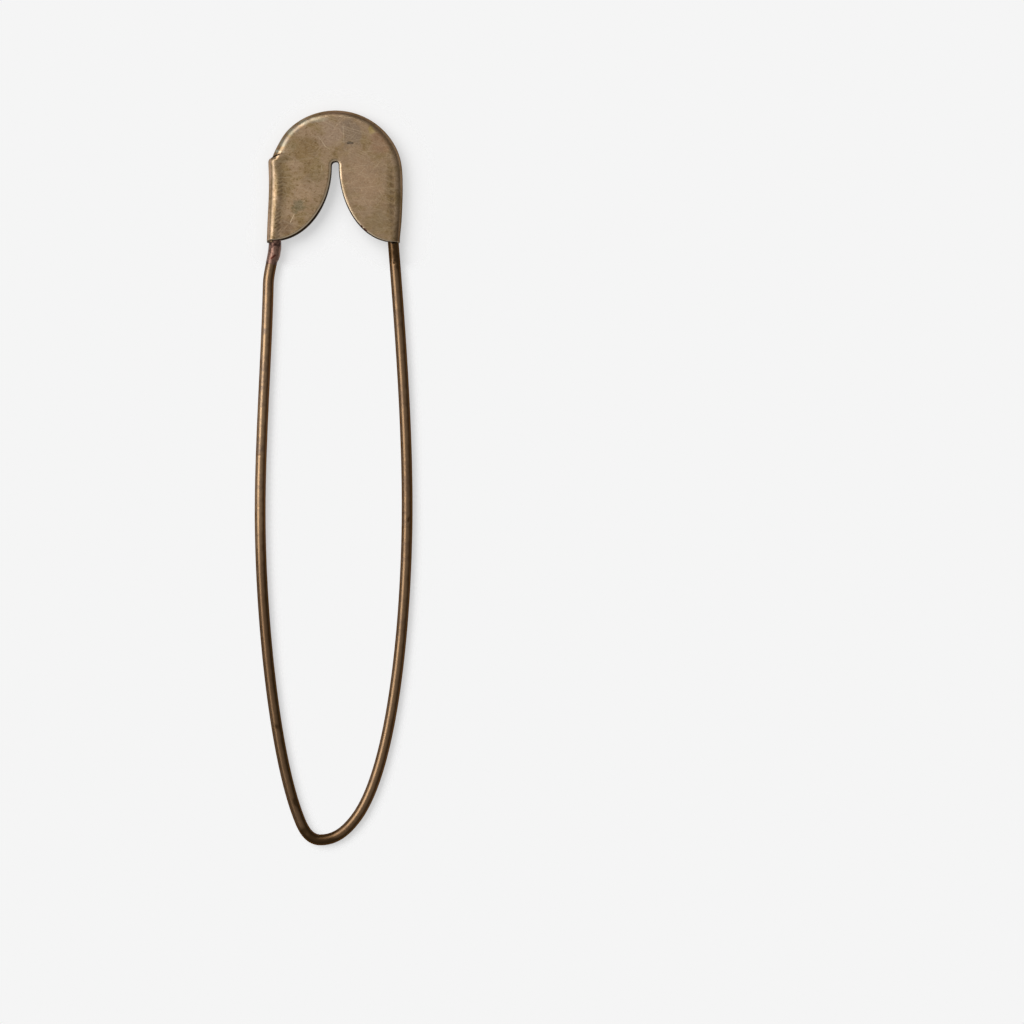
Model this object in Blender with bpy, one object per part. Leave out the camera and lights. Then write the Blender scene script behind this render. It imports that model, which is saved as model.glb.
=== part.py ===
"""A large brass safety pin of the old kind, closed and lying on its back.

One length of round wire is bowed into a long narrow loop with no coil at its bend. Its left arm
is fixed: it runs up into a roll crimped along the left side of a cap of folded sheet, and is
brazed there. Its right arm is free and ground to a point, which rests behind the cap's right
lobe, pressed against the rolled rim. Behind that lobe the sheet is cut back to a narrow lip, so
the free arm unhooks when it is pinched inwards or pulled back.

The wire is modelled in three stretches, because it moves by bending at the loop: the pinch turns
about the left end of the short bend, and the swing twists the wire at the bend's lowest point.
"""

import math

import bmesh
import bpy
from mathutils import Vector
from mathutils.geometry import interpolate_bezier

# Sizes are in metres and angles in radians. X runs across the pin, Y along it towards the cap,
# and Z up from the table. The origin is under the middle of the whole pin.
OVERALL_LENGTH = 0.120
ARM_SPREAD = 0.0258  # over the outsides of both arms, where they bow out most

# The wire
WIRE_DIAMETER = 0.0018
WIDEST_RISE_LEFT = 0.0533  # from the bend up to where each arm bows out most
WIDEST_RISE_RIGHT = 0.0544
BEND_SHIFT = -0.0022  # the bend's lowest point is left of the middle
KNEE_REACH_LEFT = 0.0032  # from the bend's lowest point to where each arm leaves the bend
KNEE_RISE_LEFT = 0.0029
KNEE_LEAN_LEFT = math.radians(67)
KNEE_REACH_RIGHT = 0.0057
KNEE_RISE_RIGHT = 0.0034
KNEE_LEAN_RIGHT = math.radians(52)
JOG_LENGTH = 0.0072  # below the cap the left arm steps outwards over this length
JOG_WIDTH = 0.00109
FOOT_LEAN = math.radians(1.4)
MOUTH_LEAN = math.radians(4.5)  # of the free arm where it enters the cap
NEEDLE_TAPER = 0.0105
NEEDLE_TIP_DIAMETER = 0.00024
NEEDLE_FULLNESS = 0.75  # under 1, the ground point bellies out instead of running straight
STRETCH_GAP = 0.0003  # between two stretches of the one wire

# How far the wire runs on straight before it curves away, before and after each turning place
JOG_EASE = 0.0020
FOOT_EASE_ABOVE = 0.0025
FOOT_EASE_BELOW = 0.0119
BOW_EASE_ABOVE_LEFT = 0.0119
BOW_EASE_BELOW_LEFT = 0.0169
KNEE_EASE_ABOVE = 0.0107
KNEE_EASE_BELOW_LEFT = 0.0010
BEND_EASE_LEFT = 0.0019
BEND_EASE_RIGHT = 0.0027
KNEE_EASE_BELOW_RIGHT = 0.0021
BOW_EASE_BELOW_RIGHT = 0.0158
BOW_EASE_ABOVE_RIGHT = 0.0140
MOUTH_EASE = 0.0140

# The cap of folded sheet
SHEET = 0.0003
CAP_WIDTH = 0.0222
CAP_SHIFT = 0.0003  # the cap's middle is right of the pin's middle
SIDE_LENGTH = 0.0102  # of the straight sides, below the round top
SIDE_DRAFT = 0.0004  # the right side leans in by this much down to the mouth
POCKET_CLEARANCE = 0.00008  # between the wire and each wall of the cap
NOTCH_SHIFT = 0.00015
NOTCH_WIDTH = 0.00166
LOBE_CURVE_WIDTH = 0.0093  # each lobe's inner edge is a quarter of an ellipse
LOBE_CURVE_HEIGHT = 0.0125

# The roll that holds the fixed arm
ROLL_LENGTH = 0.0136
ROLL_STAND = 0.00012  # how far it stands out past the round top's side
CRIMP_CLEARANCE = 0.00014
CREASE_RADIUS = 0.0006
CREASE_DEPTH = 0.0004
CREASE_FADE = 0.0016
SLIT_WIDTH = 0.0003
SLIT_DEPTH = 0.0011
SLIT_LEAN = math.radians(25)

# The catch behind the right lobe
SWING_TILT = math.radians(25)  # the free arm swings back and this much inwards
CATCH_MARGIN = 0.00003  # between the lip and the passing wire
TIP_HEADROOM = 0.0014
WINDOW_CORNER = 0.0022

# The brazing metal at the roll's mouth
BRAZE_LENGTH = 0.0033
BRAZE_NECK = 0.0008  # how far it has run up into the roll
BRAZE_WALL = 0.00014
BRAZE_TOE_WALL = 0.00006
BRAZE_SWELL = 0.0001  # it gathers on the inner side, and is thicker there by twice this
BRAZE_GAP = 0.00003  # between the brazing metal and what it holds

# How far a cut runs past what it cuts, and how near two points are one
OVERRUN = 0.002
WELD_DISTANCE = 1e-7

# Facets
ARCH_FACES = 56
LOBE_FACES = 28
CORNER_FACES = 10
JOG_FACES = 10
BOW_FACES = 20
MOUTH_FACES = 14
BEND_FACES = 12
NEEDLE_FACES = 14
BRAZE_FACES = 12
RIM_RESOLUTION = 6
WIRE_RESOLUTION = 4
ROLL_RESOLUTION = 10
SHARP_ANGLE = math.radians(35)

# What follows from them: the wire's level in the cap, and the cap's outline
WIRE_RADIUS = WIRE_DIAMETER / 2
POCKET_HALF = WIRE_RADIUS + POCKET_CLEARANCE
CAP_HALF = POCKET_HALF + SHEET
BORE_RADIUS = WIRE_RADIUS + CRIMP_CLEARANCE
ROLL_RADIUS = BORE_RADIUS + SHEET
MIDDLE_Z = max(ROLL_RADIUS, CAP_HALF)
ARCH_RADIUS = CAP_WIDTH / 2
ARCH_Y = OVERALL_LENGTH / 2 - ARCH_RADIUS
MOUTH_Y = ARCH_Y - SIDE_LENGTH
LEFT_SIDE_X = CAP_SHIFT - ARCH_RADIUS
RIGHT_SIDE_X = CAP_SHIFT + ARCH_RADIUS
NOTCH_Y = MOUTH_Y + LOBE_CURVE_HEIGHT
NOTCH_RADIUS = NOTCH_WIDTH / 2
ROLL_X = LEFT_SIDE_X - ROLL_STAND + ROLL_RADIUS
ROLL_TOP = MOUTH_Y + ROLL_LENGTH
RIDGE_RADIUS = CREASE_RADIUS + SHEET
CREASE_Z = CAP_HALF + CREASE_RADIUS - CREASE_DEPTH
CREASE_X = ROLL_X + math.sqrt((BORE_RADIUS + RIDGE_RADIUS) ** 2 - CREASE_Z**2)
LIP_ANGLE = math.asin((WIRE_RADIUS + CATCH_MARGIN) / POCKET_HALF) - SWING_TILT
LIP_WIDTH = CAP_HALF - POCKET_HALF * math.sin(LIP_ANGLE)
WINDOW_TOP = NOTCH_Y + NOTCH_RADIUS / 2
TIP_Y = WINDOW_TOP - TIP_HEADROOM

# The wire's turning places
HALF_SPREAD = ARM_SPREAD / 2 - WIRE_RADIUS
BEND_Y = WIRE_RADIUS - OVERALL_LENGTH / 2
CATCH_X = RIGHT_SIDE_X - SIDE_DRAFT - CAP_HALF
FOOT = Vector((ROLL_X - JOG_WIDTH, MOUTH_Y - JOG_LENGTH))
WIDEST_LEFT = Vector((-HALF_SPREAD, BEND_Y + WIDEST_RISE_LEFT))
KNEE_LEFT = Vector((BEND_SHIFT - KNEE_REACH_LEFT, BEND_Y + KNEE_RISE_LEFT))
BEND_BOTTOM = Vector((BEND_SHIFT, BEND_Y))
KNEE_RIGHT = Vector((BEND_SHIFT + KNEE_REACH_RIGHT, BEND_Y + KNEE_RISE_RIGHT))
WIDEST_RIGHT = Vector((HALF_SPREAD, BEND_Y + WIDEST_RISE_RIGHT))
MOUTH = Vector((CATCH_X, MOUTH_Y))
TIP = Vector((CATCH_X - (TIP_Y - MOUTH_Y) * math.tan(MOUTH_LEAN), TIP_Y))


def clear_scene():
    for obj in list(bpy.data.objects):
        bpy.data.objects.remove(obj, do_unlink=True)


def new_collection(name, hidden=False):
    collection = bpy.data.collections.new(name)
    collection.hide_render = hidden
    bpy.context.scene.collection.children.link(collection)
    return collection


def metal(name, colour, roughness):
    """A plain Principled metal of one colour."""
    material = bpy.data.materials.new(name)
    material.use_nodes = True
    shader = material.node_tree.nodes["Principled BSDF"]
    shader.inputs["Base Color"].default_value = (*colour, 1)
    shader.inputs["Metallic"].default_value = 1
    shader.inputs["Roughness"].default_value = roughness
    return material


def to_mesh(curve_object, collection):
    """Replaces a curve object with its own mesh, its loose caps welded on."""
    bpy.context.view_layer.update()
    graph = bpy.context.evaluated_depsgraph_get()
    mesh = bpy.data.meshes.new_from_object(curve_object.evaluated_get(graph))
    edit = bmesh.new()
    edit.from_mesh(mesh)
    bmesh.ops.remove_doubles(edit, verts=edit.verts, dist=WELD_DISTANCE)
    bmesh.ops.recalc_face_normals(edit, faces=edit.faces)
    edit.to_mesh(mesh)
    edit.free()
    mesh.shade_smooth()
    mesh.set_sharp_from_angle(angle=SHARP_ANGLE)
    solid = bpy.data.objects.new(curve_object.name, mesh)
    solid.matrix_world = curve_object.matrix_world
    name = curve_object.name
    bpy.data.objects.remove(curve_object, do_unlink=True)
    solid.name = name
    collection.objects.link(solid)
    return solid


def outline_solid(name, outline, collection, half_height, rim_radius=0, inset=0):
    """A flat outline made solid: extruded, or with a half-round rim set inside the outline."""
    curve = bpy.data.curves.new(name, "CURVE")
    curve.dimensions = "2D"
    curve.fill_mode = "BOTH"
    curve.extrude = half_height
    curve.bevel_depth = rim_radius
    curve.bevel_resolution = RIM_RESOLUTION
    curve.offset = -inset
    spline = curve.splines.new("POLY")
    spline.points.add(len(outline) - 1)
    for point, (x, y) in zip(spline.points, outline):
        point.co = (x, y, 0, 1)
    spline.use_cyclic_u = True
    solid = bpy.data.objects.new(name, curve)
    solid.location.z = MIDDLE_Z
    collection.objects.link(solid)
    return to_mesh(solid, collection)


def tube(name, path, radii, collection, origin=(0, 0, 0), resolution=WIRE_RESOLUTION):
    """A round bar along a path, with a radius at each point and its origin at a given place."""
    curve = bpy.data.curves.new(name, "CURVE")
    curve.dimensions = "3D"
    curve.bevel_depth = 1
    curve.bevel_resolution = resolution
    curve.use_fill_caps = True
    spline = curve.splines.new("POLY")
    spline.points.add(len(path) - 1)
    for point, place, radius in zip(spline.points, path, radii):
        point.co = (*(Vector(place) - Vector(origin)), 1)
        point.radius = radius
    bar = bpy.data.objects.new(name, curve)
    bar.location = origin
    collection.objects.link(bar)
    return to_mesh(bar, collection)


def boolean(target, other, operation="DIFFERENCE"):
    """Adds a Boolean modifier, and hides the object that cuts or joins."""
    modifier = target.modifiers.new(f"{operation.lower()} {other.name}", "BOOLEAN")
    modifier.operation = operation
    modifier.solver = "EXACT"
    modifier.object = other
    other.hide_render = True
    other.display_type = "WIRE"


def arc(centre, radii, start, end, count):
    """Points along an elliptical arc, from one angle to another in degrees."""
    angles = [math.radians(start + (end - start) * i / count) for i in range(count + 1)]
    return [
        (centre[0] + radii[0] * math.cos(a), centre[1] + radii[1] * math.sin(a)) for a in angles
    ]


def right_side_x(y):
    """The right side's outer face, which leans in from the round top to the mouth."""
    return RIGHT_SIDE_X - SIDE_DRAFT * (ARCH_Y - y) / SIDE_LENGTH


def cap_outline():
    """The cap's outer face seen from the front, run on below the mouth for the lobes' cut."""
    foot_y = MOUTH_Y - CAP_WIDTH / 2
    top = arc((CAP_SHIFT, ARCH_Y), (ARCH_RADIUS, ARCH_RADIUS), 180, 0, ARCH_FACES)
    return [(LEFT_SIDE_X, foot_y), *top, (right_side_x(foot_y), foot_y)]


def lobe_outline():
    """All that is cut away below the cap: the rounded notch, and both lobes' curved edges."""
    radii = (LOBE_CURVE_WIDTH, LOBE_CURVE_HEIGHT)
    reach = NOTCH_RADIUS + LOBE_CURVE_WIDTH
    right = arc((NOTCH_SHIFT + reach, NOTCH_Y), radii, 270, 180, LOBE_FACES)
    left = arc((NOTCH_SHIFT - reach, NOTCH_Y), radii, 360, 270, LOBE_FACES)
    notch = arc((NOTCH_SHIFT, NOTCH_Y), (NOTCH_RADIUS, NOTCH_RADIUS), 0, 180, CORNER_FACES)
    low = MOUTH_Y - CAP_WIDTH
    far_right = RIGHT_SIDE_X + OVERRUN
    far_left = LEFT_SIDE_X - ROLL_STAND - OVERRUN
    corners = [(far_left, MOUTH_Y), (far_left, low), (far_right, low), (far_right, MOUTH_Y)]
    return [*right, *notch[1:-1], *left, *corners]


def window_outline():
    """What is cut out of the back wall behind the right lobe, all but the lip along the rim."""
    low = MOUTH_Y - OVERRUN
    top_x = right_side_x(WINDOW_TOP) - LIP_WIDTH
    corner = arc(
        (top_x - WINDOW_CORNER, WINDOW_TOP - WINDOW_CORNER),
        (WINDOW_CORNER, WINDOW_CORNER),
        90,
        0,
        CORNER_FACES,
    )
    return [(NOTCH_SHIFT, low), (NOTCH_SHIFT, WINDOW_TOP), *corner,
            (right_side_x(low) - LIP_WIDTH, low)]


def roll_bar(name, radius, collection):
    """A straight bar where the roll is, round at its top, run on below the mouth."""
    top = ROLL_TOP - ROLL_RADIUS
    steps = [math.radians(90 * i / CORNER_FACES) for i in range(CORNER_FACES)]
    path = [(ROLL_X, MOUTH_Y - OVERRUN, MIDDLE_Z)]
    path += [(ROLL_X, top + radius * math.sin(a), MIDDLE_Z) for a in steps]
    radii = [radius] + [radius * math.cos(a) for a in steps]
    return tube(name, path, radii, collection, resolution=ROLL_RESOLUTION)


def crease_bar(name, radius, side, collection):
    """A bar along the crease beside the roll, which thins out and fades at its top."""
    z = MIDDLE_Z + side * CREASE_Z
    top = ROLL_TOP - ROLL_RADIUS
    steps = [math.radians(90 * i / CORNER_FACES) for i in range(CORNER_FACES)]
    path = [(CREASE_X, MOUTH_Y - OVERRUN, z)]
    path += [(CREASE_X, top - CREASE_FADE + CREASE_FADE * math.sin(a), z) for a in steps]
    radii = [radius] + [radius * math.cos(a) for a in steps]
    return tube(name, path, radii, collection, resolution=ROLL_RESOLUTION)


def slit_cutter(collection):
    """A thin slab that enters the rim's outer face just above the roll, and leans upwards."""
    half = SLIT_WIDTH / 2
    corners = [(-OVERRUN, -half), (SLIT_DEPTH, -half), (SLIT_DEPTH, half), (-OVERRUN, half)]
    slab = outline_solid("rim_slit", corners, collection, CAP_HALF + OVERRUN)
    height = ROLL_TOP + half
    slab.location.x = CAP_SHIFT - math.sqrt(ARCH_RADIUS**2 - (height - ARCH_Y) ** 2)
    slab.location.y = height
    slab.rotation_euler.z = SLIT_LEAN
    return slab


def make_cap(parts, cutters, material):
    """The folded cap: a hollow shell with a half-round rim, the roll, its creases and the cuts."""
    cap = outline_solid("head_cap", cap_outline(), parts, 0, CAP_HALF, CAP_HALF)
    cap.data.materials.append(material)
    boolean(cap, roll_bar("roll_outside", ROLL_RADIUS, cutters), "UNION")
    hollow = outline_solid("cap_hollow", cap_outline(), cutters, 0, POCKET_HALF, CAP_HALF)
    boolean(cap, hollow)
    boolean(cap, roll_bar("roll_bore", BORE_RADIUS, cutters))
    for face, side in (("front", 1), ("back", -1)):
        boolean(hollow, crease_bar(f"ridge_{face}", RIDGE_RADIUS, side, cutters))
        boolean(cap, crease_bar(f"crease_{face}", CREASE_RADIUS, side, cutters))
    boolean(cap, outline_solid("lobe_cut", lobe_outline(), cutters, CAP_HALF + OVERRUN))
    window = outline_solid("catch_window", window_outline(), cutters, CAP_HALF)
    window.location.z -= CAP_HALF
    boolean(cap, window)
    boolean(cap, slit_cutter(cutters))


def level(x, y):
    """A place on the wire's middle line: it rises from the table at the bend to the cap."""
    share = min(max((y - BEND_Y) / (MOUTH_Y - BEND_Y), 0), 1)
    return Vector((x, y, WIRE_RADIUS + (MIDDLE_Z - WIRE_RADIUS) * share))


def run(start, start_way, start_ease, end, end_way, end_ease, count):
    """Points of one smooth stretch between two places, with the way the wire heads at each."""
    handles = start + start_way * start_ease, end - end_way * end_ease
    points = interpolate_bezier(start, *handles, end, count + 1)
    return [level(p.x, p.y) for p in points]


def heading(angle):
    return Vector((math.cos(angle), math.sin(angle)))


def at_height(path, y):
    """The point of a path that runs down the pin, at this height."""
    upper, lower = next(pair for pair in zip(path, path[1:]) if pair[1].y <= y)
    return upper.lerp(lower, (upper.y - y) / (upper.y - lower.y))


def joined(*runs):
    """Runs laid end to end, with each shared point once."""
    return runs[0] + [point for one in runs[1:] for point in one[1:]]


def trimmed(path, start_cut, end_cut):
    """The path without this much length at its two ends."""
    for cut in (start_cut, end_cut):
        left = cut
        while (path[1] - path[0]).length <= left:
            left -= (path[1] - path[0]).length
            path = path[1:]
        path = [path[0] + (path[1] - path[0]).normalized() * left, *path[1:]][::-1]
    return path


DOWN = heading(math.radians(-90))
UP = heading(math.radians(90))
FOOT_WAY = heading(math.radians(-90) - FOOT_LEAN)
KNEE_LEFT_WAY = heading(-KNEE_LEAN_LEFT)
BEND_WAY = heading(0)
KNEE_RIGHT_WAY = heading(KNEE_LEAN_RIGHT)
MOUTH_WAY = heading(math.radians(90) + MOUTH_LEAN)


def fixed_arm_path():
    """Down from inside the roll, out through the jog, and along the left bow to the bend."""
    seat = Vector((ROLL_X, ROLL_TOP - ROLL_RADIUS))
    mouth = Vector((ROLL_X, MOUTH_Y))
    return joined(
        [level(*seat), level(*mouth)],
        run(mouth, DOWN, JOG_EASE, FOOT, FOOT_WAY, FOOT_EASE_ABOVE, JOG_FACES),
        run(FOOT, FOOT_WAY, FOOT_EASE_BELOW, WIDEST_LEFT, DOWN, BOW_EASE_ABOVE_LEFT,
            MOUTH_FACES),
        run(WIDEST_LEFT, DOWN, BOW_EASE_BELOW_LEFT, KNEE_LEFT, KNEE_LEFT_WAY, KNEE_EASE_ABOVE,
            BOW_FACES),
    )


def bend_path():
    """Round from the left arm to the loop's lowest point."""
    return run(KNEE_LEFT, KNEE_LEFT_WAY, KNEE_EASE_BELOW_LEFT, BEND_BOTTOM, BEND_WAY,
               BEND_EASE_LEFT, BEND_FACES)


def pin_arm_path():
    """Up from the bend, along the right bow, and straight on into the cap."""
    needle = [MOUTH.lerp(TIP, i / NEEDLE_FACES) for i in range(NEEDLE_FACES + 1)]
    return joined(
        run(BEND_BOTTOM, BEND_WAY, BEND_EASE_RIGHT, KNEE_RIGHT, KNEE_RIGHT_WAY,
            KNEE_EASE_BELOW_RIGHT, BEND_FACES),
        run(KNEE_RIGHT, KNEE_RIGHT_WAY, KNEE_EASE_ABOVE, WIDEST_RIGHT, UP,
            BOW_EASE_BELOW_RIGHT, BOW_FACES),
        run(WIDEST_RIGHT, UP, BOW_EASE_ABOVE_RIGHT, MOUTH, MOUTH_WAY, MOUTH_EASE, MOUTH_FACES),
        [level(*point) for point in needle],
    )


def needle_radius(place, tip):
    """The wire's radius, less towards the tip, where it is ground to a point."""
    share = min((tip - place).length / NEEDLE_TAPER, 1)
    tip_radius = NEEDLE_TIP_DIAMETER / 2
    return tip_radius + (WIRE_RADIUS - tip_radius) * share**NEEDLE_FULLNESS


def make_wire(parts, material):
    """The three stretches of the wire. Each moving one turns about its origin."""
    half_gap = STRETCH_GAP / 2
    pinch_axis = level(*KNEE_LEFT)
    swing_axis = level(*BEND_BOTTOM)
    fixed = trimmed(fixed_arm_path(), 0, half_gap)
    bend = trimmed(bend_path(), half_gap, half_gap)
    free = trimmed(pin_arm_path(), half_gap, 0)
    fixed_arm = tube("fixed_arm", fixed, [WIRE_RADIUS] * len(fixed), parts)
    spring_bend = tube("spring_bend", bend, [WIRE_RADIUS] * len(bend), parts, pinch_axis)
    radii = [needle_radius(place, free[-1]) for place in free]
    pin_arm = tube("pin_arm", free, radii, parts, swing_axis)
    pin_arm.parent = spring_bend
    pin_arm.location = swing_axis - pinch_axis
    for stretch in (fixed_arm, spring_bend, pin_arm):
        stretch.data.materials.append(material)


def make_braze(parts, cutters, material):
    """A neck that fills the roll's mouth, and a lump below it that thins out down the arm."""
    path = fixed_arm_path()
    neck = [level(ROLL_X, MOUTH_Y + BRAZE_NECK), level(ROLL_X, MOUTH_Y)]
    radii = [BORE_RADIUS - BRAZE_GAP] * len(neck)
    shares = [i / BRAZE_FACES for i in range(1, BRAZE_FACES + 1)]
    lump = []
    for share in shares:
        swell = BRAZE_SWELL * math.sin(math.pi * share)
        place = at_height(path, MOUTH_Y - BRAZE_LENGTH * share)
        lump.append(place + Vector((swell, 0, 0)))
        wall = BRAZE_WALL + (BRAZE_TOE_WALL - BRAZE_WALL) * share
        radii.append(WIRE_RADIUS + BRAZE_GAP + wall + swell)
    braze = tube("braze_joint", neck + lump, radii, parts)
    braze.data.materials.append(material)
    bore = tube("braze_bore", path, [WIRE_RADIUS + BRAZE_GAP] * len(path), cutters)
    boolean(braze, bore)


clear_scene()
safety_pin = new_collection("safety_pin")
pin_cutters = new_collection("safety_pin_cutters", hidden=True)
cap_brass = metal("patinated_sheet_brass", (0.42, 0.30, 0.18), 0.42)
wire_brass = metal("drawn_wire_brass", (0.36, 0.24, 0.12), 0.34)
braze_copper = metal("brazing_metal", (0.38, 0.20, 0.13), 0.45)
make_cap(safety_pin, pin_cutters, cap_brass)
make_wire(safety_pin, wire_brass)
make_braze(safety_pin, pin_cutters, braze_copper)
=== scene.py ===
import math

import bpy
import numpy as np
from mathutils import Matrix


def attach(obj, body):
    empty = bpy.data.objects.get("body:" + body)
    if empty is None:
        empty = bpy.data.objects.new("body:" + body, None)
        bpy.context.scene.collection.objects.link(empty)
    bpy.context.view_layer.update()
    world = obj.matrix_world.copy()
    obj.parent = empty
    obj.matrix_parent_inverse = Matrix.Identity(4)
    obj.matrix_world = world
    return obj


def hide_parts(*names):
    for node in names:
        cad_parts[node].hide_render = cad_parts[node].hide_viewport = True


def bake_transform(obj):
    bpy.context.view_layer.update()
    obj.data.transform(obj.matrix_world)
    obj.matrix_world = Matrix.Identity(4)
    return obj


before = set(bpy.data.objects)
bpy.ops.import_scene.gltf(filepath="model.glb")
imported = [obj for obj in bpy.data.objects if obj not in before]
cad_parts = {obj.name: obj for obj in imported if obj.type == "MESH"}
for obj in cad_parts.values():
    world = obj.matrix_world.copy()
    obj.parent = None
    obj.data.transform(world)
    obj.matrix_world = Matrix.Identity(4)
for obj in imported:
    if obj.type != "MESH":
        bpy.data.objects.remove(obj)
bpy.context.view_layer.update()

scene = bpy.context.scene
scene.view_settings.view_transform = "Standard"


# Light
# One large soft lamp at the upper left, and a room that is bright overhead and dim near the
# horizon. Together they light a level surface so that a colour shows as it is written. Below, and
# wherever the camera looks past the object, the room is the white of the board.
LAMP_AZIMUTH = math.radians(144)
LAMP_TILT = math.radians(42)
LAMP_DISTANCE = 1.5
LAMP_HEIGHT = 1.05
LAMP_WIDTH = 1.8
LAMP_POWER = 20.0
ROOM_HORIZON = 0.16
ROOM_ZENITH = 0.50
BACKDROP_WHITE = 0.913

lamp = bpy.data.objects.new("soft_lamp", bpy.data.lights.new("soft_lamp", "AREA"))
lamp.data.shape = "RECTANGLE"
lamp.data.size = LAMP_HEIGHT
lamp.data.size_y = LAMP_WIDTH
lamp.data.energy = LAMP_POWER
lamp.location = (
    LAMP_DISTANCE * math.sin(LAMP_TILT) * math.cos(LAMP_AZIMUTH),
    LAMP_DISTANCE * math.sin(LAMP_TILT) * math.sin(LAMP_AZIMUTH),
    LAMP_DISTANCE * math.cos(LAMP_TILT),
)
lamp.rotation_euler = (0, LAMP_TILT, LAMP_AZIMUTH)
scene.collection.objects.link(lamp)


def feed(tree, inputs, values):
    """Links sockets into a node's inputs, or sets their values. A colour has no alpha here."""
    for name, value in values.items():
        if isinstance(value, bpy.types.NodeSocket):
            tree.links.new(value, inputs[name])
        else:
            is_colour = inputs[name].type == "RGBA"
            inputs[name].default_value = (*value, 1) if is_colour else value


def node(tree, kind, values=None, **settings):
    """Adds a node with these settings, and these values for its inputs."""
    made = tree.nodes.new("ShaderNode" + kind)
    for name, value in settings.items():
        setattr(made, name, value)
    feed(tree, made.inputs, values or {})
    return made


def calculate(tree, operation, first, second):
    """One sum on two values."""
    return node(tree, "Math", {0: first, 1: second}, operation=operation).outputs[0]


def map_range(tree, value, low, high, to_low=0.0, to_high=1.0, smooth=True):
    """The value, moved from one range to another, and held at its ends."""
    kind = "SMOOTHSTEP" if smooth else "LINEAR"
    values = {"Value": value, "From Min": low, "From Max": high, "To Min": to_low,
              "To Max": to_high}
    return node(tree, "MapRange", values, interpolation_type=kind).outputs["Result"]


room = bpy.data.worlds.new("room")
room.use_nodes = True
scene.world = room
tree = room.node_tree
heading = node(tree, "TexCoord").outputs["Generated"]
height = node(tree, "SeparateXYZ", {"Vector": heading}).outputs["Z"]
overhead = map_range(tree, height, 0.0, 1.0, ROOM_HORIZON, ROOM_ZENITH, smooth=False)
underneath = calculate(tree, "LESS_THAN", height, 0.0)
ray = node(tree, "LightPath").outputs
looked_at = calculate(tree, "MAXIMUM", ray["Is Camera Ray"], ray["Is Transmission Ray"])
plain = calculate(tree, "MAXIMUM", underneath, looked_at)
brightness = map_range(tree, plain, 0.0, 1.0, overhead, BACKDROP_WHITE, smooth=False)
feed(tree, tree.nodes["Background"].inputs, {"Strength": brightness, "Color": (1, 1, 1)})


# Camera
# It looks straight down. The picture's middle is beside the pin, so the pin is seen slightly from
# the right.
MM = 0.001  # all sizes are in metres
CAMERA_PLACE = (29.12 * MM, -5.54 * MM, 650 * MM)
CAMERA_LENS = 139.7
CAMERA_NEAR = 10 * MM

camera = bpy.data.objects.new("camera", bpy.data.cameras.new("camera"))
camera.data.lens = CAMERA_LENS
camera.data.clip_start = CAMERA_NEAR
camera.location = CAMERA_PLACE
scene.collection.objects.link(camera)
scene.camera = camera


# Brass wire
# One length of round drawn brass wire, crimped into the cap's roll. It steps out through a jog,
# bows left, turns the bend with no coil, bows right, and runs up into the cap, where it is ground
# to a point. It flexes at the bend, so it is made in two halves.
WIRE_RADIUS = 0.9 * MM
MIDDLE_HEIGHT = 1.34 * MM  # of the cap's middle plane above the board
BEND_LEVEL_Y = -59.1 * MM
MOUTH_Y = 38.7 * MM
SEAT = (-9.58 * MM, 50.96 * MM)
ROLL_MOUTH = (-9.58 * MM, MOUTH_Y)
FOOT = (-10.67 * MM, 31.5 * MM)
WIDEST_LEFT = (-12.0 * MM, -5.8 * MM)
KNEE_LEFT = (-5.4 * MM, -56.2 * MM)
BEND_BOTTOM = (-2.2 * MM, BEND_LEVEL_Y)
KNEE_RIGHT = (3.5 * MM, -55.7 * MM)
WIDEST_RIGHT = (12.0 * MM, -4.7 * MM)
CATCH_MOUTH = (9.72 * MM, MOUTH_Y)
TIP = (8.814 * MM, 50.215 * MM)
NEEDLE_LENGTH = 10.5 * MM
NEEDLE_TIP_RADIUS = 0.12 * MM
NEEDLE_FULLNESS = 0.75
NEEDLE_NOSE = 0.12 * MM  # the rounded length of its very end
NEEDLE_LEAST = 0.03
WIRE_STEP = 0.22 * MM
WIRE_SIDES = 44
UNEVENNESS = 0.011 * MM
JOIN_PLACE = (-3.7 * MM, -58.6 * MM)  # where the two halves meet


def new_material(name, metallic=1.0):
    """A material with a Principled shader, and the tree and shader that its nodes are added to."""
    material = bpy.data.materials.new(name)
    material.use_nodes = True
    shader = material.node_tree.nodes["Principled BSDF"]
    shader.inputs["Metallic"].default_value = metallic
    return material, material.node_tree, shader


def grid_faces(rows, columns, closed=False):
    """Corner numbers of the four-sided faces between neighbours of a grid of points, row by row."""
    row = np.arange(rows - 1)[:, None]
    column = np.arange(columns if closed else columns - 1)[None]
    beside = (column + 1) % columns
    corners = (row * columns + column, row * columns + beside,
               (row + 1) * columns + beside, (row + 1) * columns + column)
    return np.stack(corners, axis=-1)


def new_piece(name, points, faces, material):
    """A smooth object at the origin whose mesh has these points, in metres, and these faces."""
    mesh = bpy.data.meshes.new(name)
    mesh.from_pydata(points.reshape(-1, 3).tolist(), [], faces)
    mesh.polygons.foreach_set("use_smooth", [True] * len(mesh.polygons))
    mesh.materials.append(material)
    mesh.update()
    piece = bpy.data.objects.new(name, mesh)
    scene.collection.objects.link(piece)
    return piece


def new_tube(name, points, material, sharp=50):
    """A piece whose points are rings, one row a ring, with a flat face over each end. Its shading
    breaks where it turns by more than the sharp angle, in degrees."""
    rows, columns = points.shape[:2]
    faces = grid_faces(rows, columns, closed=True).reshape(-1, 4).tolist()
    first_end = list(range(columns))[::-1]
    last_end = list(range((rows - 1) * columns, rows * columns))
    piece = new_piece(name, points, faces + [first_end, last_end], material)
    piece.data.set_sharp_from_angle(angle=math.radians(sharp))
    return piece


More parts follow.
